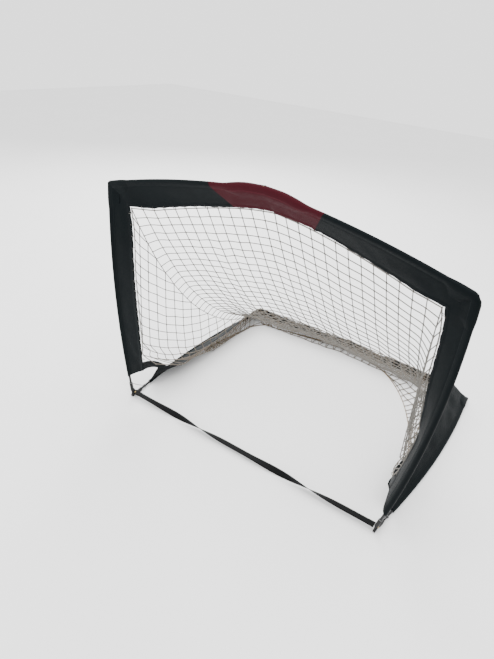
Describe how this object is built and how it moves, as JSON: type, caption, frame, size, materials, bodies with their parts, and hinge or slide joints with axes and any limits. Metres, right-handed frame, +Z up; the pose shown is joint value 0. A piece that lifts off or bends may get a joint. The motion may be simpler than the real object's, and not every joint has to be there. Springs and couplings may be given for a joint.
{
  "type": "hockey goal net",
  "caption": "Folding practice goal: bowed fibreglass poles in fabric sleeves with a peaked crossbar, a slack knotted net and a webbing strap along the goal line.",
  "frame": {"origin": "on the ground, in the middle of the goal's length, width and depth", "axes": "+X along the crossbar, +Y from the goal mouth to the back, +Z up"},
  "size_m": [1.3162, 1.0614, 1.0386],
  "materials": {
    "pole": "glossy pultruded fibreglass",
    "knuckle": "moulded, fine grain",
    "rivet": "plated, satin",
    "black_fabric": "woven polyester, matt",
    "red_fabric": "woven polyester, matt",
    "net": "knotted polyester twine",
    "webbing": "woven webbing",
    "elastic_cord": "braided elastic"
  },
  "bodies": {
    "left_post": {"left_post_pole": "pole", "left_post_top_knuckle": "knuckle", "left_post_foot_knuckle": "knuckle", "left_foot_rivet": "rivet", "left_post_sleeve": "black_fabric", "left_post_side_net": "net", "left_foot_cord": "elastic_cord", "left_top_rivet": "rivet", "ground_strap": "webbing"},
    "crossbar_left": {"left_crossbar_pole": "pole", "left_crossbar_corner_knuckle": "knuckle", "left_crossbar_peak_knuckle": "knuckle", "left_crossbar_sleeve": "black_fabric", "left_centre_panel": "red_fabric", "left_upper_net": "net", "peak_rivet": "rivet"},
    "left_arm": {"left_arm_pole": "pole", "left_arm_foot_knuckle": "knuckle", "left_arm_rear_knuckle": "knuckle", "left_rear_rivet": "rivet", "left_arm_sleeve": "black_fabric", "left_arm_side_net": "net"},
    "rear_left": {"left_rear_pole": "pole", "left_rear_corner_knuckle": "knuckle", "left_rear_middle_knuckle": "knuckle", "left_rear_sleeve": "black_fabric", "left_lower_net": "net", "rear_middle_rivet_lower": "rivet"},
    "right_post": {"right_post_pole": "pole", "right_post_top_knuckle": "knuckle", "right_post_foot_knuckle": "knuckle", "right_foot_rivet": "rivet", "right_post_sleeve": "black_fabric", "right_post_side_net": "net", "right_foot_cord": "elastic_cord"},
    "crossbar_right": {"right_crossbar_pole": "pole", "right_crossbar_corner_knuckle": "knuckle", "right_crossbar_peak_knuckle": "knuckle", "right_crossbar_sleeve": "black_fabric", "right_centre_panel": "red_fabric", "right_upper_net": "net", "right_top_rivet": "rivet"},
    "right_arm": {"right_arm_pole": "pole", "right_arm_foot_knuckle": "knuckle", "right_arm_rear_knuckle": "knuckle", "right_rear_rivet": "rivet", "right_arm_sleeve": "black_fabric", "right_arm_side_net": "net"},
    "rear_right": {"right_rear_pole": "pole", "right_rear_corner_knuckle": "knuckle", "right_rear_middle_knuckle": "knuckle", "right_rear_sleeve": "black_fabric", "right_lower_net": "net", "rear_middle_rivet_upper": "rivet"}
  },
  "joints": [
    {"name": "fold", "type": "hinge", "parent": "left_post", "child": "crossbar_left", "pos_m": [-0.64007, -0.52355, 0.89699], "axis": [0, 1, 0], "range_deg": [0, 94.77], "deforming": ["left_post_sleeve", "left_post_side_net", "left_foot_cord", "ground_strap", "left_crossbar_sleeve", "left_centre_panel", "left_upper_net", "left_arm_sleeve", "left_arm_side_net", "left_rear_sleeve", "left_lower_net", "right_post_sleeve", "right_post_side_net", "right_foot_cord", "right_crossbar_sleeve", "right_centre_panel", "right_upper_net", "right_arm_sleeve", "right_arm_side_net", "right_rear_sleeve", "right_lower_net"]},
    {"name": "crossbar_middle_fold", "type": "hinge", "parent": "crossbar_left", "child": "crossbar_right", "pos_m": [0, -0.52355, 1.03262], "axis": [0, -1, 0], "range_deg": [0, 191.6]},
    {"name": "right_top_fold", "type": "hinge", "parent": "crossbar_right", "child": "right_post", "pos_m": [0.64007, -0.52355, 0.89699], "axis": [0, 1, 0], "range_deg": [0, 94.77]},
    {"name": "left_arm_fold", "type": "hinge", "parent": "left_post", "child": "left_arm", "pos_m": [-0.56645, -0.51256, 0.01895], "axis": [0.9947, 0.0352, 0.0964], "range_deg": [0, 89.81]},
    {"name": "right_arm_fold", "type": "hinge", "parent": "right_post", "child": "right_arm", "pos_m": [0.56645, -0.51256, 0.01895], "axis": [0.9947, -0.0352, -0.0964], "range_deg": [0, 89.81]},
    {"name": "left_rear_fold", "type": "hinge", "parent": "left_arm", "child": "rear_left", "pos_m": [-0.58864, 0.45631, 0.008], "axis": [0, 0, -1], "range_deg": [0, 92.48]},
    {"name": "right_rear_fold", "type": "hinge", "parent": "right_arm", "child": "rear_right", "pos_m": [0.58864, 0.45631, 0.008], "axis": [0, 0, 1], "range_deg": [0, 92.48]}
  ],
  "couplings": [
    {"joint": "crossbar_middle_fold", "follows": "fold", "ratio": 2.0218},
    {"joint": "right_top_fold", "follows": "fold", "ratio": 1},
    {"joint": "left_arm_fold", "follows": "fold", "ratio": 0.94764},
    {"joint": "right_arm_fold", "follows": "fold", "ratio": 0.94764},
    {"joint": "left_rear_fold", "follows": "fold", "ratio": 0.97582},
    {"joint": "right_rear_fold", "follows": "fold", "ratio": 0.97582}
  ]
}
